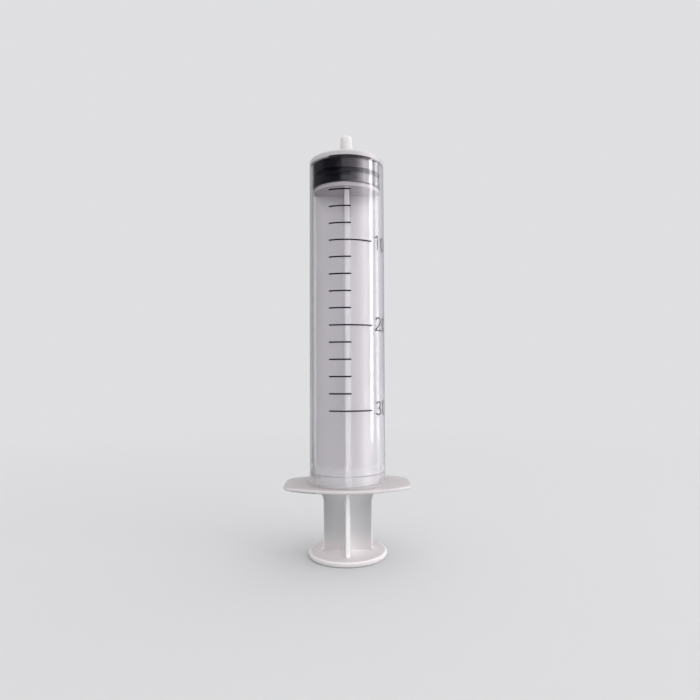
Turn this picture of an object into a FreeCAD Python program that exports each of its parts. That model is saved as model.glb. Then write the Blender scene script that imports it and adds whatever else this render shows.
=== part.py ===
import FreeCAD
import Part
import math
import os

import Sketcher

# Disposable syringe of nominal 30 ml, standing on its thumb disc with the plunger pushed fully in.
# Millimetres, +Z towards the nozzle tip, origin at the centre of the thumb disc's underside.
# The flange's long direction is X, and the side that carries the scale faces -Y.
# Three mouldings: the barrel, the plunger rod and the rubber piston that snaps onto the rod's head.

SIZES = (
    # Barrel tube and its closed end
    ("bore_diameter", 22.1),
    ("barrel_wall", 1.0),
    ("bore_depth", 103.5),
    ("end_wall", 1.3),
    ("end_cone_angle", 8),
    ("shoulder_round", 0.65),
    ("bore_end_round", 0.3),
    ("mouth_lead_in", 0.4),
    # Luer slip nozzle: the taper is the fall of its diameter over its length
    ("nozzle_length", 7.5),
    ("nozzle_tip_diameter", 3.93),
    ("nozzle_taper", 0.06),
    ("nozzle_tip_round", 0.8),
    ("nozzle_root_round", 0.5),
    ("fluid_bore_diameter", 2.0),
    # Stop ring inside the bore, which keeps the piston from leaving the barrel
    ("stop_ring_height", 4.45),
    ("stop_ring_bite", 0.2),
    ("stop_ring_land", 0.4),
    ("stop_ring_ramp", 0.35),
    # Finger flange
    ("flange_length", 40.1),
    ("flange_width", 26.5),
    ("flange_side_radius", 32.4),
    ("flange_corner_radius", 5.0),
    ("flange_thickness", 1.2),
    ("flange_edge_round", 0.45),
    ("flange_root_round", 0.3),
    # Plunger rod
    ("rod_seat_height", 116.9),
    ("thumb_diameter", 24.8),
    ("thumb_thickness", 1.6),
    ("thumb_round", 0.55),
    ("grip_ring_inner_radius", 3.6),
    ("grip_ring_pitch", 2.6),
    ("grip_ring_width", 0.9),
    ("grip_ring_depth", 0.25),
    ("rib_span_outside", 15.55),
    ("rib_clearance", 0.85),
    ("rib_edge_thickness", 1.3),
    ("rib_root_thickness", 1.6),
    ("rib_root_round", 0.7),
    ("rib_edge_round", 0.3),
    ("rib_foot_round", 1.2),
    ("rib_flare_start", 17.0),
    ("rib_flare_radius", 3.4),
    ("seat_disc_clearance", 0.45),
    ("seat_disc_thickness", 1.45),
    ("seat_disc_round", 0.3),
    # Snap head that holds the piston
    ("neck_diameter", 6.0),
    ("neck_length", 2.0),
    ("head_diameter", 10.0),
    ("head_rim", 1.0),
    ("head_height", 3.6),
    ("head_crown_diameter", 6.4),
    ("snap_clearance", 0.05),
    # Rubber piston
    ("lip_clearance", 0.05),
    ("piston_edge_height", 7.95),
    ("rear_lip_height", 2.9),
    ("piston_groove_height", 1.5),
    ("piston_groove_depth", 0.75),
    ("lip_round", 0.25),
    ("nose_round", 0.9),
    # Gap left between the piston's nose and the barrel's end when the plunger is home
    ("end_gap", 0.3),
)

GRIP_RING_COUNT = 3
RIB_COUNT = 4
OUTLINE_TOLERANCE = 1e-4

# Sizes that follow from the sheet, written for the sheet's own formulas
BORE_RADIUS = "Sizes.bore_diameter / 2"
OUTER_RADIUS = "(Sizes.bore_diameter / 2 + Sizes.barrel_wall)"
END_INNER = "Sizes.bore_depth"
END_OUTER = "(Sizes.bore_depth + Sizes.end_wall)"
CONE_RISE = "tan(Sizes.end_cone_angle)"
TIP_RADIUS = "Sizes.nozzle_tip_diameter / 2"
NOZZLE_ROOT_RADIUS = "(Sizes.nozzle_tip_diameter + Sizes.nozzle_taper * Sizes.nozzle_length) / 2"
NOZZLE_ROOT = f"({END_OUTER} + ({OUTER_RADIUS} - {NOZZLE_ROOT_RADIUS}) * {CONE_RISE})"
NOZZLE_TIP = f"({NOZZLE_ROOT} + Sizes.nozzle_length)"
FLUID_RADIUS = "Sizes.fluid_bore_diameter / 2"
# The flange's hole ends in the middle of the tube's wall, because the two are one moulding
FLANGE_HOLE_RADIUS = f"{BORE_RADIUS} + Sizes.barrel_wall / 2"
STOP_RING_RADIUS = f"{BORE_RADIUS} - Sizes.stop_ring_bite"
RING_HALF_LAND = "Sizes.stop_ring_land / 2"
RING_HALF_WIDTH = f"({RING_HALF_LAND} + Sizes.stop_ring_ramp)"

# The rod's widest places follow the bore, so that they keep their running clearance in it
RIB_TIP = f"({BORE_RADIUS} - Sizes.rib_clearance)"
SEAT_DISC_RADIUS = f"({BORE_RADIUS} - Sizes.seat_disc_clearance)"
RIB_NARROW = "Sizes.rib_span_outside / 2"
HEAD_CAVITY_RADIUS = "(Sizes.head_diameter / 2 + Sizes.snap_clearance)"
NECK_HOLE_RADIUS = "(Sizes.neck_diameter / 2 + Sizes.snap_clearance)"
LIP_RADIUS = f"({BORE_RADIUS} - Sizes.lip_clearance)"
GROOVE_RADIUS = f"({LIP_RADIUS} - Sizes.piston_groove_depth)"
FRONT_LIP_START = "(Sizes.rear_lip_height + Sizes.piston_groove_height)"
PISTON_BASE = "(Sizes.rod_seat_height + Sizes.snap_clearance)"
BARREL_BASE = f"({PISTON_BASE} + Sizes.piston_edge_height + Sizes.end_gap - Sizes.bore_depth)"
SEAT_DISC_UNDERSIDE = "(Sizes.rod_seat_height - Sizes.seat_disc_thickness)"
HEAD_START = "(Sizes.rod_seat_height + Sizes.neck_length)"

doc = FreeCAD.newDocument("syringe")


def make_sheet():
    """The spreadsheet of driving sizes, one named cell each."""
    sheet = doc.addObject("Spreadsheet::Sheet", "Sizes")
    for row, (name, size) in enumerate(SIZES, start=1):
        sheet.set(f"A{row}", name)
        sheet.set(f"B{row}", str(size))
        sheet.setAlias(f"B{row}", name)
    doc.recompute()
    return sheet


sizes = make_sheet()


def value(formula):
    """What a formula over the sheet comes to now, in millimetres or as a plain number."""
    found = sizes.evalExpression(formula.replace("Sizes.", ""))
    return float(getattr(found, "Value", found))


def new_body(name):
    """An empty body whose label names its file."""
    body = doc.addObject("PartDesign::Body", name)
    body.Label = name
    return body


def origin_feature(body, role):
    """One of the body's own origin planes or axes."""
    return next(item for item in body.Origin.OriginFeatures if item.Role == role)


def new_sketch(body, name, plane):
    """A sketch on one of the body's origin planes."""
    sketch = body.newObject("Sketcher::SketchObject", name)
    sketch.AttachmentSupport = (origin_feature(body, plane), [""])
    sketch.MapMode = "FlatFace"
    return sketch


def bind(sketch, name, formula, kind, *places):
    """Adds one dimension to the sketch and ties it to a formula over the sheet."""
    index = sketch.addConstraint(Sketcher.Constraint(kind, *places, value(formula)))
    sketch.renameConstraint(index, name)
    sketch.setExpression(f"Constraints.{name}", formula)


def pin(sketch, name, geometry, vertex, x, y):
    """Holds a vertex at a place given by two formulas; a place on an axis is held on the axis."""
    if x == "0":
        sketch.addConstraint(Sketcher.Constraint("PointOnObject", geometry, vertex, -2))
    else:
        bind(sketch, f"{name}_x", x, "DistanceX", -1, 1, geometry, vertex)
    if y == "0":
        sketch.addConstraint(Sketcher.Constraint("PointOnObject", geometry, vertex, -1))
    else:
        bind(sketch, f"{name}_y", y, "DistanceY", -1, 1, geometry, vertex)


def draw_outline(sketch, corners, prefix="corner"):
    """A closed outline through corners (x, y) or (x, y, radius), all formulas; a radius rounds the corner."""
    count = len(corners)
    points = [FreeCAD.Vector(value(corner[0]), value(corner[1]), 0) for corner in corners]
    along = [(points[(i + 1) % count] - points[i]).normalize() for i in range(count)]
    trims = [0.0] * count
    for i, corner in enumerate(corners):
        if len(corner) == 3:
            half_turn = along[i - 1].getAngle(along[i]) / 2
            trims[i] = value(corner[2]) * math.tan(half_turn)
    lines = []
    for i in range(count):
        start = points[i] + along[i] * trims[i]
        end = points[(i + 1) % count] - along[i] * trims[(i + 1) % count]
        lines.append(sketch.addGeometry(Part.LineSegment(start, end), False))
    for i, corner in enumerate(corners):
        before = lines[i - 1]
        after = lines[i]
        if len(corner) == 2:
            sketch.addConstraint(Sketcher.Constraint("Coincident", before, 2, after, 1))
            pin(sketch, f"{prefix}{i}", after, 1, corner[0], corner[1])
        else:
            tip = sketch.addGeometry(Part.Point(points[i]), True)
            pin(sketch, f"{prefix}{i}", tip, 1, corner[0], corner[1])
            sketch.addConstraint(Sketcher.Constraint("PointOnObject", tip, 1, before))
            sketch.addConstraint(Sketcher.Constraint("PointOnObject", tip, 1, after))
            round_corner(sketch, f"{prefix}{i}_round", before, after, points[i], along[i - 1], along[i], corner[2])


def round_corner(sketch, name, before, after, corner, arriving, leaving, radius):
    """A tangent arc between the end of one line and the start of the next."""
    size = value(radius)
    turn = arriving.cross(leaving).z
    reach = size * math.tan(arriving.getAngle(leaving) / 2)
    inward = FreeCAD.Vector(-arriving.y, arriving.x, 0) * math.copysign(1, turn)
    centre = corner - arriving * reach + inward * size
    first = corner - arriving * reach - centre
    last = corner + leaving * reach - centre
    if turn < 0:
        first, last = last, first
    circle = Part.Circle(centre, FreeCAD.Vector(0, 0, 1), size)
    angles = [math.atan2(side.y, side.x) for side in (first, last)]
    arc = sketch.addGeometry(Part.ArcOfCircle(circle, *angles), False)
    first_vertex, last_vertex = (1, 2) if turn > 0 else (2, 1)
    sketch.addConstraint(Sketcher.Constraint("Tangent", before, 2, arc, first_vertex))
    sketch.addConstraint(Sketcher.Constraint("Tangent", arc, last_vertex, after, 1))
    bind(sketch, name, radius, "Radius", arc)


def revolve(body, name, corners):
    """Adds a solid turned about Z from an outline in the XZ plane."""
    sketch = new_sketch(body, f"{name}_outline", "XZ_Plane")
    draw_outline(sketch, corners)
    feature = body.newObject("PartDesign::Revolution", name)
    feature.Profile = sketch
    feature.ReferenceAxis = (sketch, ["V_Axis"])
    feature.Angle = 360
    doc.recompute()
    return feature


def round_edges(body, name, radius, wanted):
    """Fillets the edges of the body's last feature for which wanted(edge) is true."""
    base = body.Tip
    found = [f"Edge{i}" for i, edge in enumerate(base.Shape.Edges, start=1) if wanted(edge)]
    fillet = body.newObject("PartDesign::Fillet", name)
    fillet.Base = (base, found)
    fillet.setExpression("Radius", radius)
    doc.recompute()
    return fillet


def lies_flat(edge, height):
    """Whether the whole edge lies at that height above the XY plane."""
    box = edge.BoundBox
    return abs(box.ZMin - height) < OUTLINE_TOLERANCE and abs(box.ZMax - height) < OUTLINE_TOLERANCE


def reach_from_axis(edge):
    """Smallest and largest distance of the edge's points from the Z axis."""
    distances = [math.hypot(point.x, point.y) for point in edge.discretize(9)]
    return min(distances), max(distances)


def draw_flange(sketch):
    """Flange plan: two long side arcs, two straight ends and four rounded corners, with the barrel's hole."""
    half_length = value("Sizes.flange_length / 2")
    half_width = value("Sizes.flange_width / 2")
    side = value("Sizes.flange_side_radius")
    corner = value("Sizes.flange_corner_radius")
    side_centre = half_width - side
    corner_x = half_length - corner
    corner_y = side_centre + math.sqrt((side - corner) ** 2 - corner_x**2)
    meet = math.atan2(corner_y - side_centre, corner_x)
    up = FreeCAD.Vector(0, 0, 1)

    def arc(x, y, radius, start, end):
        circle = Part.Circle(FreeCAD.Vector(x, y, 0), up, radius)
        return sketch.addGeometry(Part.ArcOfCircle(circle, start, end), False)

    def end_line(x, first_y, last_y):
        line = Part.LineSegment(FreeCAD.Vector(x, first_y, 0), FreeCAD.Vector(x, last_y, 0))
        return sketch.addGeometry(line, False)

    right = end_line(half_length, -corner_y, corner_y)
    back_right = arc(corner_x, corner_y, corner, 0, meet)
    back = arc(0, side_centre, side, meet, math.pi - meet)
    back_left = arc(-corner_x, corner_y, corner, math.pi - meet, math.pi)
    left = end_line(-half_length, corner_y, -corner_y)
    front_left = arc(-corner_x, -corner_y, corner, math.pi, math.pi + meet)
    front = arc(0, -side_centre, side, math.pi + meet, 2 * math.pi - meet)
    front_right = arc(corner_x, -corner_y, corner, 2 * math.pi - meet, 2 * math.pi)
    loop = (right, back_right, back, back_left, left, front_left, front, front_right)
    for before, after in zip(loop, loop[1:] + loop[:1]):
        sketch.addConstraint(Sketcher.Constraint("Tangent", before, 2, after, 1))
    sketch.addConstraint(Sketcher.Constraint("Vertical", right))
    sketch.addConstraint(Sketcher.Constraint("Vertical", left))
    bind(sketch, "right_end", "Sizes.flange_length / 2", "DistanceX", -1, 1, right, 1)
    bind(sketch, "left_end", "-Sizes.flange_length / 2", "DistanceX", -1, 1, left, 1)
    side_centre_formula = "Sizes.flange_width / 2 - Sizes.flange_side_radius"
    for name, geometry, sign in (("back", back, ""), ("front", front, "-")):
        sketch.addConstraint(Sketcher.Constraint("PointOnObject", geometry, 3, -2))
        bind(sketch, f"{name}_centre", f"{sign}({side_centre_formula})", "DistanceY", -1, 1, geometry, 3)
        bind(sketch, f"{name}_radius", "Sizes.flange_side_radius", "Radius", geometry)
    for i, geometry in enumerate((back_right, back_left, front_left, front_right)):
        bind(sketch, f"corner{i}_radius", "Sizes.flange_corner_radius", "Radius", geometry)
    hole = sketch.addGeometry(Part.Circle(FreeCAD.Vector(0, 0, 0), up, value(FLANGE_HOLE_RADIUS)), False)
    sketch.addConstraint(Sketcher.Constraint("Coincident", hole, 3, -1, 1))
    bind(sketch, "hole_radius", FLANGE_HOLE_RADIUS, "Radius", hole)


def make_barrel():
    """Tube, closed end, nozzle and stop ring turned as one section, with the flange moulded on its mouth."""
    body = new_body("barrel")
    section = (
        (f"{BORE_RADIUS} + Sizes.mouth_lead_in", "0"),
        (OUTER_RADIUS, "0"),
        (OUTER_RADIUS, END_OUTER, "Sizes.shoulder_round"),
        (NOZZLE_ROOT_RADIUS, NOZZLE_ROOT, "Sizes.nozzle_root_round"),
        (TIP_RADIUS, NOZZLE_TIP, "Sizes.nozzle_tip_round"),
        (FLUID_RADIUS, NOZZLE_TIP),
        (FLUID_RADIUS, f"{END_INNER} + ({BORE_RADIUS} - {FLUID_RADIUS}) * {CONE_RISE}"),
        (BORE_RADIUS, END_INNER, "Sizes.bore_end_round"),
        (BORE_RADIUS, f"Sizes.stop_ring_height + {RING_HALF_WIDTH}"),
        (STOP_RING_RADIUS, f"Sizes.stop_ring_height + {RING_HALF_LAND}"),
        (STOP_RING_RADIUS, f"Sizes.stop_ring_height - {RING_HALF_LAND}"),
        (BORE_RADIUS, f"Sizes.stop_ring_height - {RING_HALF_WIDTH}"),
        (BORE_RADIUS, "Sizes.mouth_lead_in"),
    )
    revolve(body, "tube", section)
    plan = new_sketch(body, "flange_plan", "XY_Plane")
    draw_flange(plan)
    flange = body.newObject("PartDesign::Pad", "flange")
    flange.Profile = plan
    flange.setExpression("Length", "Sizes.flange_thickness")
    doc.recompute()
    top = value("Sizes.flange_thickness")
    outer = value(OUTER_RADIUS)

    def is_rim(edge):
        beyond_tube = reach_from_axis(edge)[0] > outer + OUTLINE_TOLERANCE
        return beyond_tube and (lies_flat(edge, top) or lies_flat(edge, 0))

    def is_root(edge):
        nearest, furthest = reach_from_axis(edge)
        on_tube = abs(nearest - outer) < OUTLINE_TOLERANCE and abs(furthest - outer) < OUTLINE_TOLERANCE
        return on_tube and lies_flat(edge, top)

    round_edges(body, "flange_rim", "Sizes.flange_edge_round", is_rim)
    round_edges(body, "flange_root", "Sizes.flange_root_round", is_root)
    body.setExpression("Placement.Base.z", BARREL_BASE)
    return body


def rib_section():
    """Cross-shaped section of the rod: ribs that thin towards their edges, filleted where they meet."""
    edge = "Sizes.rib_edge_thickness / 2"
    root = "Sizes.rib_root_thickness / 2"
    arm = ((RIB_TIP, f"-{edge}"), (RIB_TIP, edge), (root, root))
    corners = []
    for quarter in range(RIB_COUNT):
        for i, (x, y) in enumerate(arm):
            for _ in range(quarter):
                x, y = (y[1:] if y.startswith("-") else f"-{y}"), x
            corners.append((x, y, "Sizes.rib_root_round") if i == 2 else (x, y))
    return corners


def is_rib_edge(edge):
    """Whether the edge runs along a rib's free side, between the thumb disc and the seat disc."""
    thumb_top = value("Sizes.thumb_thickness")
    seat_underside = value(SEAT_DISC_UNDERSIDE)
    box = edge.BoundBox
    rises = box.ZMax - box.ZMin > OUTLINE_TOLERANCE
    between_discs = box.ZMax > thumb_top + OUTLINE_TOLERANCE and box.ZMin < seat_underside - OUTLINE_TOLERANCE
    return rises and between_discs and reach_from_axis(edge)[0] > value(RIB_NARROW) - OUTLINE_TOLERANCE


def make_plunger_rod():
    """Cross-ribbed rod between a thumb disc and a seat disc, with a neck and a snap head beyond it."""
    body = new_body("plunger_rod")
    section = new_sketch(body, "rib_section", "XY_Plane")
    draw_outline(section, rib_section())
    ribs = body.newObject("PartDesign::Pad", "ribs")
    ribs.Profile = section
    ribs.setExpression("Length", SEAT_DISC_UNDERSIDE)
    doc.recompute()

    flare_end = "(Sizes.rib_flare_start + Sizes.rib_flare_radius)"
    clear_of_rib = f"({RIB_TIP} + Sizes.rib_flare_radius)"
    notch = new_sketch(body, "rib_notch_outline", "XZ_Plane")
    draw_outline(
        notch,
        (
            (RIB_NARROW, "Sizes.thumb_thickness", "Sizes.rib_foot_round"),
            (clear_of_rib, "Sizes.thumb_thickness"),
            (clear_of_rib, flare_end),
            (RIB_NARROW, flare_end, "Sizes.rib_flare_radius"),
        ),
    )
    cut = body.newObject("PartDesign::Pocket", "rib_notch")
    cut.Profile = notch
    cut.Midplane = True
    cut.setExpression("Length", "2 * Sizes.rib_root_thickness")
    doc.recompute()
    notches = body.newObject("PartDesign::PolarPattern", "rib_notches")
    notches.Originals = [cut]
    notches.Axis = (section, ["N_Axis"])
    notches.Angle = 360
    notches.Occurrences = RIB_COUNT
    body.Tip = notches
    doc.recompute()
    round_edges(body, "rib_edges", "Sizes.rib_edge_round", is_rib_edge)

    thumb_radius = "Sizes.thumb_diameter / 2"
    revolve(
        body,
        "thumb_disc",
        (
            ("0", "0"),
            (thumb_radius, "0", "Sizes.thumb_round"),
            (thumb_radius, "Sizes.thumb_thickness", "Sizes.thumb_round"),
            ("0", "Sizes.thumb_thickness"),
        ),
    )
    head_radius = "Sizes.head_diameter / 2"
    head_end = f"{HEAD_START} + Sizes.head_height"
    revolve(
        body,
        "seat_disc_and_head",
        (
            ("0", SEAT_DISC_UNDERSIDE),
            (SEAT_DISC_RADIUS, SEAT_DISC_UNDERSIDE, "Sizes.seat_disc_round"),
            (SEAT_DISC_RADIUS, "Sizes.rod_seat_height", "Sizes.seat_disc_round"),
            ("Sizes.neck_diameter / 2", "Sizes.rod_seat_height"),
            ("Sizes.neck_diameter / 2", HEAD_START),
            (head_radius, HEAD_START),
            (head_radius, f"{HEAD_START} + Sizes.head_rim"),
            ("Sizes.head_crown_diameter / 2", head_end),
            ("0", head_end),
        ),
    )
    cut_grip_rings(body)
    return body


def cut_grip_rings(body):
    """Shallow concentric grooves in the thumb face, which grip the thumb and leave the face flat."""
    sketch = new_sketch(body, "grip_ring_outline", "XZ_Plane")
    for i in range(GRIP_RING_COUNT):
        inner = f"(Sizes.grip_ring_inner_radius + {i} * Sizes.grip_ring_pitch)"
        outer = f"({inner} + Sizes.grip_ring_width)"
        groove = ((inner, "0"), (outer, "0"), (outer, "Sizes.grip_ring_depth"), (inner, "Sizes.grip_ring_depth"))
        draw_outline(sketch, groove, prefix=f"ring{i}_corner")
    grooves = body.newObject("PartDesign::Groove", "grip_rings")
    grooves.Profile = sketch
    grooves.ReferenceAxis = (sketch, ["V_Axis"])
    grooves.Angle = 360
    doc.recompute()


def make_piston():
    """Rubber piston: two sealing lips with a groove between, a cone nose and the cavity for the snap head."""
    body = new_body("rubber_piston")
    edge_height = f"(Sizes.piston_edge_height + Sizes.lip_clearance * {CONE_RISE})"
    apex = f"Sizes.piston_edge_height + {BORE_RADIUS} * {CONE_RISE}"
    cavity_start = "(Sizes.neck_length - 2 * Sizes.snap_clearance)"
    cavity_end = "(Sizes.neck_length + Sizes.head_height)"
    section = (
        (NECK_HOLE_RADIUS, "0"),
        (LIP_RADIUS, "0", "Sizes.lip_round"),
        (LIP_RADIUS, "Sizes.rear_lip_height", "Sizes.lip_round"),
        (GROOVE_RADIUS, "Sizes.rear_lip_height"),
        (GROOVE_RADIUS, FRONT_LIP_START),
        (LIP_RADIUS, FRONT_LIP_START, "Sizes.lip_round"),
        (LIP_RADIUS, edge_height, "Sizes.nose_round"),
        ("0", apex),
        ("0", cavity_end),
        (HEAD_CAVITY_RADIUS, cavity_end),
        (HEAD_CAVITY_RADIUS, cavity_start),
        (NECK_HOLE_RADIUS, cavity_start),
    )
    revolve(body, "piston_turned", section)
    body.setExpression("Placement.Base.z", PISTON_BASE)
    return body


def check_document():
    """Stops if any object failed to build."""
    for item in doc.Objects:
        if "Invalid" in item.State or "Error" in item.State:
            raise RuntimeError(f"{item.Name} failed to build: {item.State}")


def write_parts(bodies):
    """Checks each body's solid and writes it to its own file."""
    for body in bodies:
        shape = body.Shape
        if shape.isNull() or not shape.isValid() or len(shape.Solids) != 1:
            raise RuntimeError(f"{body.Label} is not one valid solid")
    os.makedirs("parts", exist_ok=True)
    for body in bodies:
        body.Shape.exportStep(os.path.join("parts", f"{body.Label}.step"))
        box = body.Shape.BoundBox
        print(f"{body.Label}: {body.Shape.Volume:.1f} mm3, z {box.ZMin:.3f} to {box.ZMax:.3f}")


parts = [make_barrel(), make_plunger_rod(), make_piston()]
doc.recompute()
check_document()
write_parts(parts)
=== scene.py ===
import math

import bmesh
import bpy
from mathutils import Matrix, Vector


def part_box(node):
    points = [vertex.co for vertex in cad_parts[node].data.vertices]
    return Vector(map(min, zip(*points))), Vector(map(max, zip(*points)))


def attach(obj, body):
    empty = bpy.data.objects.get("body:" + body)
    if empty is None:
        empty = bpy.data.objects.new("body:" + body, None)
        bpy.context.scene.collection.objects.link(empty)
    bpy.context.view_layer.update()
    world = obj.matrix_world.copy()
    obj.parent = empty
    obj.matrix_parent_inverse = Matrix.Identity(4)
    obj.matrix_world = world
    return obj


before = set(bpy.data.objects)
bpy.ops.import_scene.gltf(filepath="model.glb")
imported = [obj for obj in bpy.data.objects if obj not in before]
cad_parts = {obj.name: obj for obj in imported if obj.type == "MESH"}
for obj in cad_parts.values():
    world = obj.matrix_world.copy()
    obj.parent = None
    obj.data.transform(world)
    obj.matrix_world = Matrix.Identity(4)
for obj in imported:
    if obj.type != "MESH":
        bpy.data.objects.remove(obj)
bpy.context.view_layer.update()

# Looks of a disposable syringe that stands on its thumb disc, built round the CAD frame.
# Metres, +Z towards the nozzle tip; the printed scale faces -Y, which is the camera's side.

# Photograph and camera, fitted to the scale's marks, the barrel's sides, the flange and the thumb disc
PHOTO_PIXELS = 700
FOCAL_PIXELS = 536.7
AXIS_PIXEL_X = 365.46
CAMERA_DISTANCE = 0.17395
CAMERA_HEIGHT = 0.05829
CAMERA_YAW = 0.034
CAMERA_PITCH = 0.040
CAMERA_ROLL = -0.005
CAMERA_NEAR = 0.005
CAMERA_FAR = 20
SENSOR_WIDTH = 36.0

# The barrel's lower end, read from the frame, and its tube's outer radius
BARREL_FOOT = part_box("barrel")[0].z
BARREL_RADIUS = 0.01205

# Printed scale: 2 ml between marks in a 22.1 mm bore, with 30 ml nearest the flange
CAPACITY_ML = 30
MARK_ML = 2
NUMBER_ML = 10
MARK_SPACING = 0.0052139
ZERO_MARK_HEIGHT = 0.10288
MARK_START = math.radians(-27.2)
SHORT_MARK_END = math.radians(6.0)
LONG_MARK_END = math.radians(39.5)
MARK_WEIGHT = 0.00046
DIGIT_HEIGHT = 0.0044
DIGIT_STRETCH = 1.2
DIGIT_WEIGHT = 0.00044
DIGIT_PITCH = {"1": 0.0030, "2": 0.0037, "3": 0.0037, "0": 0.0037}
DIGITS_START = math.radians(44.8)
NUMBER_LIFT = {10: 0.0, 20: 0.0006, 30: 0.0005}
INK_LIFT = 0.000004
INK_THICKNESS = 0.000018
INK_ARC_STEP = math.radians(1.5)

# Cosine of half the turn past which a stroke's corner is blunted
SHARPEST_CORNER = 0.5

# Plain digits, one unit high with the left foot at the origin. Arcs are given as centre, radii,
# start and end in degrees and number of steps, and lines as points.
ZERO_RING = ((0.36, 0.5), (0.255, 0.445), 0, 345, 23)
ONE_LINE = ((0.04, 0.83), (0.17, 0.88), (0.30, 0.99), (0.30, 0.0))
TWO_BOWL = ((0.35, 0.70), (0.25, 0.245), 165, -35, 14)
TWO_TAIL = ((0.34, 0.32), (0.12, 0.12), (0.10, 0.055))
TWO_BASE = ((0.05, 0.055), (0.64, 0.055))
THREE_UPPER = ((0.33, 0.725), (0.215, 0.22), 160, -90, 14)
THREE_LOWER = ((0.34, 0.28), (0.255, 0.225), 90, -160, 16)

# Places on the CAD solids that the finishes follow, in each node's own coordinates
FLANGE_TOP = 0.0229
COLLAR_TOP = 0.0310
END_WALL_INSIDE = 0.1252
NOZZLE_ROOT = 0.1279
THUMB_RADIUS = 0.0124
THUMB_TOP = 0.0016
RIB_TIP = 0.0102
SEAT_DISC_BASE = 0.11545
LIP_RADIUS = 0.0110

# Below the flange the ribs are narrower, and an arc takes them out to their full width
FLARE_BASE = 0.0170
FLARE_RADIUS = 0.0034
FLARE_CENTRE = 0.011175

# Where one finish or one painted light or shade gives way to the next: heights or radii between which it
# changes
FLANGE_BLEND = (FLANGE_TOP + 0.0001, FLANGE_TOP + 0.0008)
COLLAR_BLEND = (COLLAR_TOP - 0.0040, COLLAR_TOP)
END_WALL_BLEND = (END_WALL_INSIDE - 0.0008, END_WALL_INSIDE - 0.0001)
NOZZLE_BLEND = (NOZZLE_ROOT - 0.0004, NOZZLE_ROOT + 0.0006)
OUTSIDE_TUBE_BLEND = (BARREL_RADIUS + 0.0004, BARREL_RADIUS + 0.0008)
DISC_BLEND = (THUMB_TOP, THUMB_TOP + 0.0004)
DISC_RIM_BLEND = (THUMB_RADIUS - 0.0009, THUMB_RADIUS - 0.0002)
DISC_MIDDLE_BLEND = (0.001, 0.012)
FOOT_BLEND = (THUMB_TOP, THUMB_TOP + 0.008)
IN_BARREL_BLEND = (FLANGE_TOP - 0.0015, FLANGE_TOP)
UNDER_SEAT_BLEND = (SEAT_DISC_BASE - 0.030, SEAT_DISC_BASE)
CLOSE_TO_SEAT_BLEND = (SEAT_DISC_BASE - 0.013, SEAT_DISC_BASE - 0.002)
SEAT_BLEND = (SEAT_DISC_BASE - 0.0001, SEAT_DISC_BASE + 0.0001)
NEAR_AXIS_BLEND = (-0.002, 0.0105)
LIP_BLEND = (LIP_RADIUS - 0.0004, LIP_RADIUS - 0.0001)

# The same for the distance past a rib's outer edge, a face's slope and how far it faces outward
RIB_EDGE_BLEND = (-0.0007, -0.0001)
RIM_SLOPE_BLEND = (0.1, 0.7)
END_FACE_BLEND = (0.5, 0.8)

# Barrel: a pair is what the haze varies between, and clearness is the share of light let through
CLEAR_COLORS = ((0.95, 0.935, 0.965, 1), (0.98, 0.97, 0.99, 1))
CLEAR_ROUGHNESS = (0.07, 0.11)
END_WALL_COLORS = ((0.64, 0.615, 0.62, 1), (0.72, 0.70, 0.705, 1))
END_WALL_ROUGHNESS = (0.20, 0.30)
NOZZLE_COLOR = (0.84, 0.82, 0.83, 1)
FLANGE_COLORS = ((0.41, 0.38, 0.385, 1), (0.46, 0.435, 0.44, 1))
FLANGE_ROUGHNESS = (0.36, 0.46)
# Painted light on the flange's rim
FLANGE_RIM_PAINTED_LIGHT_COLOR = (0.64, 0.61, 0.625, 1)
TUBE_CLEARNESS = 1.0
COLLAR_CLEARNESS = 0.87
END_WALL_CLEARNESS = 0.2
FLANGE_CLEARNESS = 0.0

# Plunger rod: what the clouds vary between in the barrel, and outside it the painted shade and light from
# the tips to the axis
RIB_COLORS = ((0.65, 0.645, 0.65, 1), (0.71, 0.70, 0.705, 1))
RIB_OUTSIDE_PAINTED_SHADE_AND_LIGHT = ((0.48, 0.48, 0.485, 1), (0.75, 0.745, 0.75, 1))
# Painted light at the ribs' foot, by the thumb disc
RIB_FOOT_PAINTED_LIGHT_COLORS = ((0.62, 0.595, 0.605, 1), (0.86, 0.835, 0.845, 1))
# Painted light on the ribs' outer edges
RIB_EDGE_PAINTED_LIGHT_COLOR = (0.96, 0.935, 0.95, 1)
RIB_ROUGHNESS = (0.36, 0.48)

# Just below the seat disc: the ribs' sides painted lighter, as painted light against the seat disc's shade,
# and their end faces painted darker, as painted shade
CLOSE_TO_SEAT_PAINTED_LIGHT_AND_SHADE = ((0.76, 0.75, 0.755, 1), (0.58, 0.56, 0.57, 1))
SEAT_COLOR = (0.51, 0.48, 0.495, 1)

# Thumb disc from its rim to its middle, painted lighter towards the middle as painted light where the ribs
# would shade it, with darker clouds, and a painted highlight on its rim
DISC_PAINTED_LIGHT_COLORS = ((0.54, 0.50, 0.52, 1), (0.99, 0.94, 0.96, 1))
DISC_CLOUD_COLOR = (0.50, 0.47, 0.485, 1)
DISC_CLOUD_SHARE = 0.15
DISC_RIM_PAINTED_LIGHT_COLOR = (0.73, 0.70, 0.71, 1)
DISC_ROUGHNESS = (0.55, 0.65)

# How much of the painted edge light shows: on the ribs' sides, and on their end faces by place
PAINTED_EDGE_ON_SIDES = 0.22
PAINTED_EDGE_OUTSIDE = 1.0
PAINTED_EDGE_INSIDE = 0.45
PAINTED_EDGE_AT_SEAT = 0.05

# Rubber and ink
RUBBER_COLORS = ((0.004, 0.004, 0.008, 1), (0.008, 0.008, 0.014, 1))
RUBBER_ROUGHNESS = (0.40, 0.52)
INK_COLORS = ((0.007, 0.006, 0.012, 1), (0.024, 0.021, 0.034, 1))
INK_ROUGHNESS = (0.12, 0.20)

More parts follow.
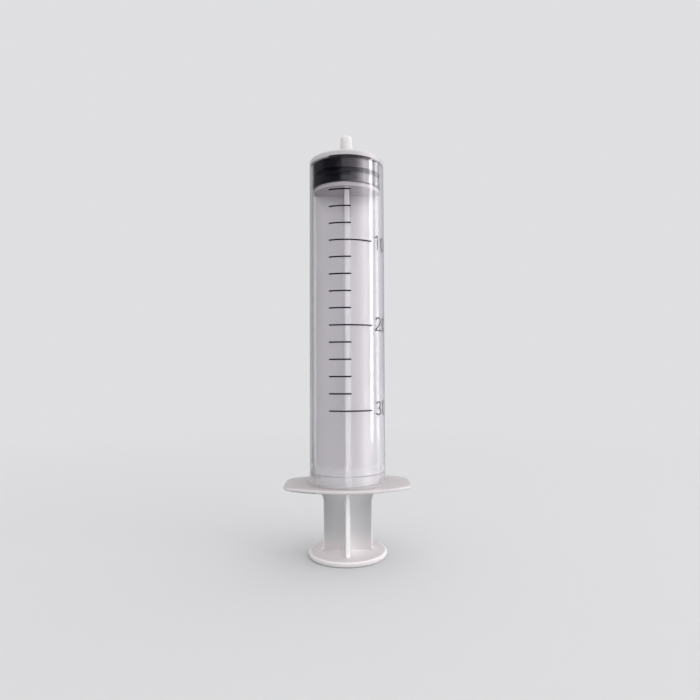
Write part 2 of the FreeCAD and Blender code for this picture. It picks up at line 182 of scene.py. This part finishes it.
POLYPROPYLENE_IOR = 1.49
POLYPROPYLENE_SCATTER = (1.0, 0.95, 0.95)

# The range that the noise nearly always keeps to
NOISE_LOW = 0.3
NOISE_HIGH = 0.7

# Studio
WHITE = (1, 1, 1, 1)
BACKDROP_COLOR = (0.74, 0.74, 0.755, 1.0)
FLOOR_COLOR = (0.50, 0.50, 0.51, 1.0)
FLOOR_RADIUS = 1.6
FLOOR_SIDES = 96
FLOOR_FADE_START = 0.08
FLOOR_FADE_END = 0.45
LIGHT_AT_HORIZON = 0.50
LIGHT_OVERHEAD = 1.60
LIGHT_BLEND = (-0.1, 0.9)
LIGHT_SIDE_SHARE = 0.35
THROUGH_WALL_GAIN = 1.6

# Between no bounce and one, to tell them apart in a ray's depths
HALF_BOUNCE = 0.5

# What glossy surfaces reflect: azimuth in degrees from -Y towards +X, radiance and tint
ROOM_PEAK = 4.0
ROOM_START = -180
ROOM_END = 180
ROOM = (
    (ROOM_START, 0.45, (1.00, 1.00, 1.02)),
    (-144, 0.45, (1.00, 1.00, 1.00)),
    (-132, 0.09, (1.00, 0.97, 0.97)),
    (-118, 0.06, (1.00, 0.96, 1.10)),
    (-100, 0.08, (1.00, 0.96, 1.10)),
    (-85, 0.06, (1.00, 0.96, 1.10)),
    (-76, 0.015, (0.90, 0.92, 1.20)),
    (-40, 0.015, (0.90, 0.92, 1.20)),
    (-21, 0.04, (0.90, 0.92, 1.20)),
    (-11, 0.32, (1.00, 0.96, 1.04)),
    (12, 0.36, (1.00, 0.96, 1.04)),
    (28, 0.50, (1.00, 0.95, 1.00)),
    (38, 1.00, (1.00, 0.94, 0.98)),
    (50, 2.10, (1.00, 0.93, 0.97)),
    (58, 3.10, (1.00, 0.95, 0.98)),
    (76, 2.20, (1.00, 0.97, 1.00)),
    (92, 1.30, (1.00, 0.97, 1.03)),
    (106, 1.70, (0.98, 0.96, 1.02)),
    (122, 0.80, (0.97, 0.95, 1.03)),
    (144, 0.62, (0.99, 0.99, 1.02)),
    (ROOM_END, 0.45, (1.00, 1.00, 1.02)),
)
OVERHEAD_COLOR = (0.90, 0.88, 0.90)
OVERHEAD_BLEND = (0.55, 0.85)
FLOOR_IN_MIRROR = 1.15

# Two upright windows on the right, which stand side by side
WINDOW_DISTANCE = 0.30
WINDOW_MIDDLE = 0.130
WINDOW_HEIGHT = 0.26
LAMP_AIM_HEIGHT = 0.07


def new_material(name):
    """A node material with its node tree and its Principled shader."""
    material = bpy.data.materials.new(name)
    material.use_nodes = True
    tree = material.node_tree
    return material, tree, tree.nodes["Principled BSDF"]


def add_node(tree, kind, **properties):
    """Adds a node and sets its properties."""
    node = tree.nodes.new(kind)
    for name, setting in properties.items():
        setattr(node, name, setting)
    return node


def put(tree, socket, source):
    """Links a socket, or sets it where the source is a plain number or colour."""
    if isinstance(source, bpy.types.NodeSocket):
        tree.links.new(source, socket)
    else:
        socket.default_value = source


def calculate(tree, operation, first, second=0.0):
    """A Math node."""
    node = add_node(tree, "ShaderNodeMath", operation=operation)
    put(tree, node.inputs[0], first)
    put(tree, node.inputs[1], second)
    return node.outputs[0]


def multiply(tree, first, second):
    """The product of two values."""
    return calculate(tree, "MULTIPLY", first, second)


def absolute(tree, source):
    """A value without its sign."""
    return calculate(tree, "ABSOLUTE", source)


def step_up(tree, source, blend):
    """0 below the blend's first value, 1 above its second and smooth between."""
    node = add_node(tree, "ShaderNodeMapRange", interpolation_type="SMOOTHSTEP")
    tree.links.new(source, node.inputs["Value"])
    node.inputs["From Min"].default_value, node.inputs["From Max"].default_value = blend
    return node.outputs["Result"]


def step_down(tree, source, blend):
    """1 below the blend's first value, 0 above its second and smooth between."""
    return calculate(tree, "SUBTRACT", 1.0, step_up(tree, source, blend))


def mix_values(tree, factor, first, second):
    """A value between two, by a factor of 0 to 1."""
    node = add_node(tree, "ShaderNodeMix")
    put(tree, node.inputs["Factor"], factor)
    put(tree, node.inputs["A"], first)
    put(tree, node.inputs["B"], second)
    return node.outputs["Result"]


def blend_colors(tree, factor, first, second):
    """A colour between two, by a factor of 0 to 1."""
    node = add_node(tree, "ShaderNodeMix", data_type="RGBA")
    low, high = (socket for socket in node.inputs if socket.type == "RGBA")
    put(tree, low, first)
    put(tree, high, second)
    put(tree, node.inputs["Factor"], factor)
    return next(socket for socket in node.outputs if socket.type == "RGBA")


def split_vector(tree, source):
    """X, Y and Z of a vector."""
    split = add_node(tree, "ShaderNodeSeparateXYZ")
    tree.links.new(source, split.inputs[0])
    return split.outputs


def object_axes(tree):
    """X, Y and Z in the object's own space."""
    coords = add_node(tree, "ShaderNodeTexCoord")
    return split_vector(tree, coords.outputs["Object"])


def distance_from_axis(tree, x, y):
    """Length of (x, y)."""
    squares = calculate(tree, "ADD", multiply(tree, x, x), multiply(tree, y, y))
    return calculate(tree, "SQRT", squares)


def slope(tree):
    """0 on level faces, 1 on upright ones."""
    geometry = add_node(tree, "ShaderNodeNewGeometry")
    normal = split_vector(tree, geometry.outputs["Normal"])
    return calculate(tree, "SUBTRACT", 1.0, absolute(tree, normal["Z"]))


def faces_outward(tree, x, y):
    """Near 1 on a rib's end face, also where it turns up or down, and near 0 on the rib's sides."""
    geometry = add_node(tree, "ShaderNodeNewGeometry")
    local = add_node(tree, "ShaderNodeVectorTransform", vector_type="NORMAL",
                     convert_from="WORLD", convert_to="OBJECT")
    tree.links.new(geometry.outputs["Normal"], local.inputs[0])
    normal = split_vector(tree, local.outputs[0])
    along = calculate(tree, "ADD", multiply(tree, x, normal["X"]), multiply(tree, y, normal["Y"]))
    away = calculate(tree, "DIVIDE", absolute(tree, along), distance_from_axis(tree, x, y))
    return calculate(tree, "MAXIMUM", away, absolute(tree, normal["Z"]))


def rib_edge_distance(tree, z):
    """How far from the axis a rib's outer edge is, either way along X or Y."""
    above_flare = calculate(tree, "MAXIMUM", calculate(tree, "SUBTRACT", z, FLARE_BASE), 0.0)
    above_flare = calculate(tree, "MINIMUM", above_flare, FLARE_RADIUS)
    square = calculate(tree, "SUBTRACT", FLARE_RADIUS ** 2, multiply(tree, above_flare, above_flare))
    flare = calculate(tree, "SUBTRACT", FLARE_CENTRE, calculate(tree, "SQRT", square))
    return calculate(tree, "MINIMUM", flare, RIB_TIP)


def object_noise(tree, stretch, scale, detail):
    """Noise in the object's own space, stretched along its axes."""
    coords = add_node(tree, "ShaderNodeTexCoord")
    mapping = add_node(tree, "ShaderNodeMapping")
    mapping.inputs["Scale"].default_value = stretch
    noise = add_node(tree, "ShaderNodeTexNoise")
    noise.inputs["Scale"].default_value = scale
    noise.inputs["Detail"].default_value = detail
    tree.links.new(coords.outputs["Object"], mapping.inputs["Vector"])
    tree.links.new(mapping.outputs["Vector"], noise.inputs["Vector"])
    return noise.outputs["Fac"]


def remap(tree, source, low, high):
    """Noise turned into values from low to high."""
    node = add_node(tree, "ShaderNodeMapRange")
    node.inputs["From Min"].default_value = NOISE_LOW
    node.inputs["From Max"].default_value = NOISE_HIGH
    node.inputs["To Min"].default_value = low
    node.inputs["To Max"].default_value = high
    tree.links.new(source, node.inputs["Value"])
    return node.outputs["Result"]


def add_bump(tree, shader, height, strength, distance):
    """Bump from a height, into the shader's normal."""
    bump = add_node(tree, "ShaderNodeBump")
    bump.inputs["Strength"].default_value = strength
    bump.inputs["Distance"].default_value = distance
    tree.links.new(height, bump.inputs["Height"])
    tree.links.new(bump.outputs["Normal"], shader.inputs["Normal"])


def make_milky(shader, weight, scale):
    """Polypropylene bends light and scatters a little of it inside."""
    shader.inputs["IOR"].default_value = POLYPROPYLENE_IOR
    shader.inputs["Subsurface Weight"].default_value = weight
    shader.inputs["Subsurface Radius"].default_value = POLYPROPYLENE_SCATTER
    shader.inputs["Subsurface Scale"].default_value = scale


def clear_polypropylene():
    """Barrel: the thin tube is clear, and the thick end wall, nozzle and flange are milky."""
    material, tree, shader = new_material("clear_polypropylene_look")
    x, y, z = object_axes(tree)
    flange = step_down(tree, z, FLANGE_BLEND)
    thick = calculate(tree, "MAXIMUM", flange, step_up(tree, z, END_WALL_BLEND))

    # The flange's rim is painted lighter: painted light for the light that runs along the flange and comes
    # out at its rim
    outside_tube = step_up(tree, distance_from_axis(tree, x, y), OUTSIDE_TUBE_BLEND)
    upright = step_up(tree, slope(tree), RIM_SLOPE_BLEND)
    rim = multiply(tree, flange, multiply(tree, outside_tube, upright))

    haze = object_noise(tree, stretch=(1, 1, 0.25), scale=60, detail=3)
    end_color = blend_colors(tree, haze, *END_WALL_COLORS)
    end_color = blend_colors(tree, step_up(tree, z, NOZZLE_BLEND), end_color, NOZZLE_COLOR)
    flange_color = blend_colors(tree, haze, *FLANGE_COLORS)
    flange_color = blend_colors(tree, rim, flange_color, FLANGE_RIM_PAINTED_LIGHT_COLOR)
    milky_color = blend_colors(tree, flange, end_color, flange_color)
    clear_color = blend_colors(tree, haze, *CLEAR_COLORS)
    tree.links.new(blend_colors(tree, thick, clear_color, milky_color), shader.inputs["Base Color"])

    end_roughness = remap(tree, haze, *END_WALL_ROUGHNESS)
    milky_roughness = mix_values(tree, flange, end_roughness, remap(tree, haze, *FLANGE_ROUGHNESS))
    roughness = mix_values(tree, thick, remap(tree, haze, *CLEAR_ROUGHNESS), milky_roughness)
    tree.links.new(roughness, shader.inputs["Roughness"])

    # The tube turns a little milky towards the flange
    collar = step_down(tree, z, COLLAR_BLEND)
    tube_clearness = mix_values(tree, collar, TUBE_CLEARNESS, COLLAR_CLEARNESS)
    thick_clearness = mix_values(tree, flange, END_WALL_CLEARNESS, FLANGE_CLEARNESS)
    clearness = mix_values(tree, thick, tube_clearness, thick_clearness)
    tree.links.new(clearness, shader.inputs["Transmission Weight"])
    make_milky(shader, weight=0.6, scale=0.0015)
    flow = object_noise(tree, stretch=(1, 1, 0.06), scale=900, detail=2)
    add_bump(tree, shader, flow, strength=0.08, distance=0.00002)
    return material


def natural_polypropylene():
    """Plunger rod: milky and uncoloured, with painted light along its edges for the light it carries out
    there, and painted light and shade by place.
    """
    material, tree, shader = new_material("natural_polypropylene_look")
    x, y, z = object_axes(tree)
    outward = calculate(tree, "MAXIMUM", absolute(tree, x), absolute(tree, y))
    from_axis = distance_from_axis(tree, x, y)
    end_face = step_up(tree, faces_outward(tree, x, y), END_FACE_BLEND)
    in_barrel = step_up(tree, z, IN_BARREL_BLEND)
    cloud = object_noise(tree, stretch=(1, 1, 0.3), scale=90, detail=3)

    # Ribs, by height from the thumb disc to the seat disc, with painted shade and light: outside the barrel
    # darker at the tips and lighter towards the axis, lighter at the foot, and just below the seat disc
    # lighter sides and darker end faces
    painted_light_near_axis = step_down(tree, outward, NEAR_AXIS_BLEND)
    # Just below the seat disc: painted light on the ribs' sides and painted shade on their end faces
    close_painted_color = blend_colors(tree, end_face, *CLOSE_TO_SEAT_PAINTED_LIGHT_AND_SHADE)
    close_to_seat = step_up(tree, z, CLOSE_TO_SEAT_BLEND)
    inside_color = blend_colors(tree, cloud, *RIB_COLORS)
    inside_color = blend_colors(tree, close_to_seat, inside_color, close_painted_color)
    # Outside the barrel: painted shade at the rib tips and painted light towards the axis
    outside_painted_color = blend_colors(tree, painted_light_near_axis, *RIB_OUTSIDE_PAINTED_SHADE_AND_LIGHT)
    rib_color = blend_colors(tree, in_barrel, outside_painted_color, inside_color)
    # Painted light at the ribs' foot, lighter towards the thumb disc
    foot = step_down(tree, z, FOOT_BLEND)
    painted_foot_color = blend_colors(tree, painted_light_near_axis, *RIB_FOOT_PAINTED_LIGHT_COLORS)
    rib_color = blend_colors(tree, foot, rib_color, painted_foot_color)

    # Painted light along their edges, for the light the ribs carry out there, weaker in the barrel and
    # fading towards the seat disc
    past_edge = calculate(tree, "SUBTRACT", outward, rib_edge_distance(tree, z))
    painted_edge_share_in_barrel = mix_values(tree, step_up(tree, z, UNDER_SEAT_BLEND), PAINTED_EDGE_INSIDE, PAINTED_EDGE_AT_SEAT)
    painted_edge_share = mix_values(tree, in_barrel, PAINTED_EDGE_OUTSIDE, painted_edge_share_in_barrel)
    painted_edge_share = mix_values(tree, end_face, PAINTED_EDGE_ON_SIDES, painted_edge_share)
    painted_rib_edge_light = multiply(tree, step_up(tree, past_edge, RIB_EDGE_BLEND), painted_edge_share)
    color = blend_colors(tree, painted_rib_edge_light, rib_color, RIB_EDGE_PAINTED_LIGHT_COLOR)
    color = blend_colors(tree, step_up(tree, z, SEAT_BLEND), color, SEAT_COLOR)

    # Thumb disc: painted light towards its middle and a painted highlight on its rim
    disc = step_down(tree, z, DISC_BLEND)
    disc_color = blend_colors(tree, step_down(tree, from_axis, DISC_MIDDLE_BLEND), *DISC_PAINTED_LIGHT_COLORS)
    disc_cloud = multiply(tree, cloud, DISC_CLOUD_SHARE)
    disc_color = blend_colors(tree, disc_cloud, disc_color, DISC_CLOUD_COLOR)
    disc_rim = step_up(tree, from_axis, DISC_RIM_BLEND)
    disc_color = blend_colors(tree, disc_rim, disc_color, DISC_RIM_PAINTED_LIGHT_COLOR)
    tree.links.new(blend_colors(tree, disc, color, disc_color), shader.inputs["Base Color"])

    disc_roughness = remap(tree, cloud, *DISC_ROUGHNESS)
    roughness = mix_values(tree, disc, remap(tree, cloud, *RIB_ROUGHNESS), disc_roughness)
    tree.links.new(roughness, shader.inputs["Roughness"])
    shader.inputs["Specular IOR Level"].default_value = 0.3
    make_milky(shader, weight=0.5, scale=0.0012)
    grain = object_noise(tree, stretch=(1, 1, 0.12), scale=1400, detail=2)
    add_bump(tree, shader, grain, strength=0.15, distance=0.00002)
    return material


def black_rubber():
    """Piston: black moulded rubber, with a silicone film on the lips that rub on the bore."""
    material, tree, shader = new_material("black_rubber_look")
    x, y, _ = object_axes(tree)
    lip = step_up(tree, distance_from_axis(tree, x, y), LIP_BLEND)
    mottle = object_noise(tree, stretch=(1, 1, 1), scale=500, detail=4)
    tree.links.new(blend_colors(tree, mottle, *RUBBER_COLORS), shader.inputs["Base Color"])
    tree.links.new(remap(tree, mottle, *RUBBER_ROUGHNESS), shader.inputs["Roughness"])
    shader.inputs["IOR"].default_value = 1.3
    tree.links.new(lip, shader.inputs["Coat Weight"])
    shader.inputs["Coat IOR"].default_value = 2.0
    shader.inputs["Coat Roughness"].default_value = 0.16
    grain = object_noise(tree, stretch=(1, 1, 1), scale=3500, detail=3)
    add_bump(tree, shader, grain, strength=0.2, distance=0.00002)
    return material


def scale_ink():
    """Black screen-printed ink, a little thin in places."""
    material, tree, shader = new_material("scale_ink_look")
    cover = object_noise(tree, stretch=(1, 1, 1), scale=2500, detail=3)
    tree.links.new(blend_colors(tree, cover, *INK_COLORS), shader.inputs["Base Color"])
    tree.links.new(remap(tree, cover, *INK_ROUGHNESS), shader.inputs["Roughness"])
    shader.inputs["Specular IOR Level"].default_value = 0.4
    add_bump(tree, shader, cover, strength=0.15, distance=0.00001)
    return material


def dress_node(name, material):
    """Gives a CAD node its finish."""
    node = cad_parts[name]
    node.data.materials.clear()
    node.data.materials.append(material)


def curved_point(across, height, radius):
    """A point of the barrel's surface: across is the angle from -Y towards +X."""
    return Vector((radius * math.sin(across), -radius * math.cos(across), height))


def add_ribbon(mesh, centre_line, half_weight, closed=False):
    """A flat ink stroke along a line of (across, height) on the unrolled barrel, wrapped round it."""
    count = len(centre_line)
    inner = BARREL_RADIUS + INK_LIFT
    outer = inner + INK_THICKNESS
    rings = []
    for i, point in enumerate(centre_line):
        before = centre_line[i - 1] if closed or i > 0 else point
        after = centre_line[(i + 1) % count] if closed or i < count - 1 else point
        along_in = (point - before).normalized() if point != before else (after - point).normalized()
        along_out = (after - point).normalized() if point != after else along_in
        middle = (along_in + along_out).normalized()
        reach = half_weight / max(SHARPEST_CORNER, middle.dot(along_in))
        side = Vector((-middle.y, middle.x)) * reach
        ring = []
        for flat, radius in ((point + side, inner), (point - side, inner),
                             (point - side, outer), (point + side, outer)):
            ring.append(mesh.verts.new(curved_point(flat.x / BARREL_RADIUS, flat.y, radius)))
        rings.append(ring)
    pairs = list(zip(rings, rings[1:])) + ([(rings[-1], rings[0])] if closed else [])
    for first, second in pairs:
        for k in range(4):
            mesh.faces.new((first[k], first[(k + 1) % 4], second[(k + 1) % 4], second[k]))
    if not closed:
        mesh.faces.new(rings[0][::-1])
        mesh.faces.new(rings[-1])


def arc(centre, radii, start, end, steps):
    """Points of an ellipse's arc, in degrees."""
    points = []
    for i in range(steps + 1):
        angle = math.radians(start + (end - start) * i / steps)
        across = centre[0] + radii[0] * math.cos(angle)
        points.append(Vector((across, centre[1] + radii[1] * math.sin(angle))))
    return points


def line(points):
    """The points of a line as vectors."""
    return [Vector(point) for point in points]


def digit_strokes(digit):
    """Centre lines of a plain digit, and whether each is closed."""
    if digit == "0":
        return [(arc(*ZERO_RING), True)]
    if digit == "1":
        return [(line(ONE_LINE), False)]
    if digit == "2":
        return [(arc(*TWO_BOWL) + line(TWO_TAIL), False), (line(TWO_BASE), False)]
    return [(arc(*THREE_UPPER), False), (arc(*THREE_LOWER), False)]


def add_number(mesh, number, height):
    """A number's digits beside its mark, centred on it."""
    left = DIGITS_START * BARREL_RADIUS
    for digit in str(number):
        foot = Vector((left, height - DIGIT_HEIGHT / 2))
        for stroke, closed in digit_strokes(digit):
            points = [foot + Vector((point.x * DIGIT_STRETCH, point.y)) * DIGIT_HEIGHT for point in stroke]
            add_ribbon(mesh, points, DIGIT_WEIGHT / 2, closed)
        left += DIGIT_PITCH[digit]


def add_mark(mesh, end, height):
    """One line of the scale, from the common start round to its end angle."""
    steps = max(2, round((end - MARK_START) / INK_ARC_STEP))
    angles = [MARK_START + (end - MARK_START) * i / steps for i in range(steps + 1)]
    add_ribbon(mesh, [Vector((angle * BARREL_RADIUS, height)) for angle in angles], MARK_WEIGHT / 2)


def make_scale_print():
    """The printed scale: a mark each 2 ml, a long mark and its number each 10 ml."""
    mesh = bmesh.new()
    for volume in range(0, CAPACITY_ML + 1, MARK_ML):
        height = BARREL_FOOT + ZERO_MARK_HEIGHT - volume / MARK_ML * MARK_SPACING
        is_long = volume % NUMBER_ML == 0
        add_mark(mesh, LONG_MARK_END if is_long else SHORT_MARK_END, height)
        if is_long and volume:
            add_number(mesh, volume, height + NUMBER_LIFT[volume])
    bmesh.ops.recalc_face_normals(mesh, faces=mesh.faces)
    data = bpy.data.meshes.new("scale_print")
    mesh.to_mesh(data)
    mesh.free()
    print_piece = bpy.data.objects.new("scale_print", data)
    bpy.context.scene.collection.objects.link(print_piece)
    data.materials.append(scale_ink())
    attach(print_piece, "barrel")


def make_camera():
    """The photograph's view."""
    cy, sy = math.cos(CAMERA_YAW), math.sin(CAMERA_YAW)
    cp, sp = math.cos(CAMERA_PITCH), math.sin(CAMERA_PITCH)
    forward = Vector((sy * cp, cy * cp, sp))
    level_right = Vector((cy, -sy, 0))
    level_up = level_right.cross(forward)
    right = level_right * math.cos(CAMERA_ROLL) + level_up * math.sin(CAMERA_ROLL)
    up = level_up * math.cos(CAMERA_ROLL) - level_right * math.sin(CAMERA_ROLL)
    data = bpy.data.cameras.new("camera")
    data.sensor_width = SENSOR_WIDTH
    data.lens = FOCAL_PIXELS / PHOTO_PIXELS * SENSOR_WIDTH
    data.shift_x = -(AXIS_PIXEL_X - PHOTO_PIXELS / 2) / PHOTO_PIXELS
    data.clip_start = CAMERA_NEAR
    data.clip_end = CAMERA_FAR
    camera = bpy.data.objects.new("camera", data)
    turn = Matrix((right, up, -forward)).transposed().to_4x4()
    camera.matrix_world = Matrix.Translation((0, -CAMERA_DISTANCE, CAMERA_HEIGHT)) @ turn
    bpy.context.scene.collection.objects.link(camera)
    bpy.context.scene.camera = camera


def mirror_ray(tree, path):
    """1 for rays that bring a reflection, or what is seen through the wall, straight to the camera."""
    bent = calculate(tree, "MAXIMUM", path.outputs["Is Glossy Ray"], path.outputs["Is Transmission Ray"])
    return multiply(tree, bent, calculate(tree, "LESS_THAN", path.outputs["Diffuse Depth"], HALF_BOUNCE))


def through_wall(tree, path):
    """Light that reaches the inside of the barrel is made up for what the wall takes."""
    gain = multiply(tree, path.outputs["Is Transmission Ray"], THROUGH_WALL_GAIN)
    return calculate(tree, "ADD", gain, 1.0)


def reflected_only(tree, path):
    """1 where a mirror ray has been reflected, 0 where it only went through the wall."""
    return calculate(tree, "GREATER_THAN", path.outputs["Glossy Depth"], HALF_BOUNCE)


def room_color(tree, x, y):
    """The room's colour by the direction of (x, y), over ROOM_PEAK."""
    azimuth = calculate(tree, "ARCTAN2", x, multiply(tree, y, -1.0))
    turn = calculate(tree, "ADD", calculate(tree, "DIVIDE", azimuth, 2 * math.pi), 0.5)
    room = add_node(tree, "ShaderNodeValToRGB")
    stops = room.color_ramp.elements
    for degrees, radiance, tint in ROOM:
        if degrees == ROOM_START:
            stop = stops[0]
        elif degrees == ROOM_END:
            stop = stops[-1]
        else:
            stop = stops.new((degrees - ROOM_START) / (ROOM_END - ROOM_START))
        stop.color = [radiance / ROOM_PEAK * part for part in tint] + [1]
    tree.links.new(turn, room.inputs[0])
    return room.outputs[0]


def mix_shaders(tree, factor, first, second):
    """A shader between two, by a factor of 0 to 1."""
    mix = add_node(tree, "ShaderNodeMixShader")
    for socket, source in zip(mix.inputs, (factor, first, second)):
        tree.links.new(source, socket)
    return mix.outputs[0]


def make_world():
    """A soft, even studio, lighter from above and from the right.

    The camera sees its plain backdrop, and glossy surfaces mirror the room with its bright right side.
    """
    world = bpy.data.worlds.new("studio")
    bpy.context.scene.world = world
    world.use_nodes = True
    tree = world.node_tree
    path = add_node(tree, "ShaderNodeLightPath")
    coords = add_node(tree, "ShaderNodeTexCoord")
    x, y, z = split_vector(tree, coords.outputs["Generated"])
    overhead_color = [part / ROOM_PEAK for part in OVERHEAD_COLOR] + [1]
    room = blend_colors(tree, step_up(tree, z, OVERHEAD_BLEND), room_color(tree, x, y), overhead_color)

    light = tree.nodes["Background"]
    light.inputs["Color"].default_value = WHITE
    strength = mix_values(tree, step_up(tree, z, LIGHT_BLEND), LIGHT_AT_HORIZON, LIGHT_OVERHEAD)
    from_side = calculate(tree, "ADD", multiply(tree, x, LIGHT_SIDE_SHARE), 1.0)
    strength = multiply(tree, multiply(tree, strength, from_side), through_wall(tree, path))
    tree.links.new(strength, light.inputs["Strength"])
    mirrored = add_node(tree, "ShaderNodeBackground")
    tree.links.new(room, mirrored.inputs["Color"])
    mirrored.inputs["Strength"].default_value = ROOM_PEAK
    backdrop = add_node(tree, "ShaderNodeBackground")
    backdrop.inputs["Color"].default_value = BACKDROP_COLOR

    seen = mix_shaders(tree, reflected_only(tree, path), backdrop.outputs[0], mirrored.outputs[0])
    for_object = mix_shaders(tree, mirror_ray(tree, path), light.outputs[0], seen)
    for_camera = mix_shaders(tree, path.outputs["Is Camera Ray"], for_object, backdrop.outputs[0])
    tree.links.new(for_camera, tree.nodes["World Output"].inputs["Surface"])


def make_floor():
    """A round pale floor that takes the object's shadow and fades into the backdrop."""
    mesh = bmesh.new()
    bmesh.ops.create_circle(mesh, cap_ends=True, segments=FLOOR_SIDES, radius=FLOOR_RADIUS)
    data = bpy.data.meshes.new("floor")
    mesh.to_mesh(data)
    mesh.free()
    floor = bpy.data.objects.new("floor", data)
    bpy.context.scene.collection.objects.link(floor)
    material, tree, shader = new_material("floor_look")
    shader.inputs["Base Color"].default_value = FLOOR_COLOR
    shader.inputs["Roughness"].default_value = 0.9
    shader.inputs["Specular IOR Level"].default_value = 0.0
    x, y, _ = object_axes(tree)
    faded = step_up(tree, distance_from_axis(tree, x, y), (FLOOR_FADE_START, FLOOR_FADE_END))
    glow = add_node(tree, "ShaderNodeEmission")
    glow.inputs["Color"].default_value = BACKDROP_COLOR
    seen = mix_shaders(tree, faded, shader.outputs[0], glow.outputs[0])

    # Reflections on the object show the floor as the part of the room above it
    path = add_node(tree, "ShaderNodeLightPath")
    mirrored = add_node(tree, "ShaderNodeEmission")
    tree.links.new(room_color(tree, x, y), mirrored.inputs["Color"])
    mirrored.inputs["Strength"].default_value = ROOM_PEAK * FLOOR_IN_MIRROR
    in_mirror = multiply(tree, mirror_ray(tree, path), reflected_only(tree, path))
    surface = mix_shaders(tree, in_mirror, seen, mirrored.outputs[0])
    tree.links.new(surface, tree.nodes["Material Output"].inputs["Surface"])
    data.materials.append(material)


def add_lamp(name, azimuth, distance, height, size, radiance,
             color=(1, 1, 1), aim_height=LAMP_AIM_HEIGHT, mirrored_only=False):
    """A soft rectangular lamp: azimuth in degrees from -Y towards +X, aimed at the object's axis."""
    data = bpy.data.lights.new(name, "AREA")
    data.shape = "RECTANGLE"
    data.size, data.size_y = size
    data.energy = radiance * math.pi * size[0] * size[1]
    data.color = color
    lamp = bpy.data.objects.new(name, data)
    turn = math.radians(azimuth)
    place = Vector((distance * math.sin(turn), -distance * math.cos(turn), height))
    lamp.location = place
    lamp.rotation_mode = "QUATERNION"
    lamp.rotation_quaternion = (Vector((0, 0, aim_height)) - place).to_track_quat("-Z", "Y")
    lamp.visible_camera = False
    lamp.visible_diffuse = not mirrored_only
    lamp.visible_glossy = mirrored_only
    data.use_nodes = True
    tree = data.node_tree
    path = add_node(tree, "ShaderNodeLightPath")
    strength = calculate(tree, "LESS_THAN", path.outputs["Diffuse Depth"], HALF_BOUNCE)
    if not mirrored_only:
        # A ray that has only gone through the wall doesn't show the lamp, and what is inside gets its light
        in_wall = calculate(tree, "GREATER_THAN", path.outputs["Transmission Depth"], HALF_BOUNCE)
        shown = calculate(tree, "SUBTRACT", 1.0, multiply(tree, strength, in_wall))
        strength = multiply(tree, shown, through_wall(tree, path))
    tree.links.new(strength, tree.nodes["Emission"].inputs["Strength"])
    bpy.context.scene.collection.objects.link(lamp)


def add_window(name, azimuth, width, radiance, color=(1, 1, 1)):
    """An upright lamp that only shows in the gloss."""
    add_lamp(name, azimuth, WINDOW_DISTANCE, WINDOW_MIDDLE, (width, WINDOW_HEIGHT), radiance, color,
             aim_height=WINDOW_MIDDLE, mirrored_only=True)


def make_lamps():
    """Two upright windows on the right and a broad soft key nearer the camera."""
    add_window("right_window", azimuth=80.5, width=0.055, radiance=6.5)
    add_window("right_window_edge", azimuth=106, width=0.034, radiance=2.5, color=(0.98, 0.96, 1.0))
    add_lamp("key_softbox", azimuth=55, distance=0.60, height=0.45, size=(0.50, 0.50), radiance=1.2,
             color=(1.0, 0.985, 0.99))


make_camera()
make_world()
make_floor()
make_lamps()
dress_node("barrel", clear_polypropylene())
dress_node("plunger_rod", natural_polypropylene())
dress_node("rubber_piston", black_rubber())
make_scale_print()

# Colours leave the renderer as they are
bpy.context.scene.view_settings.view_transform = "Standard"
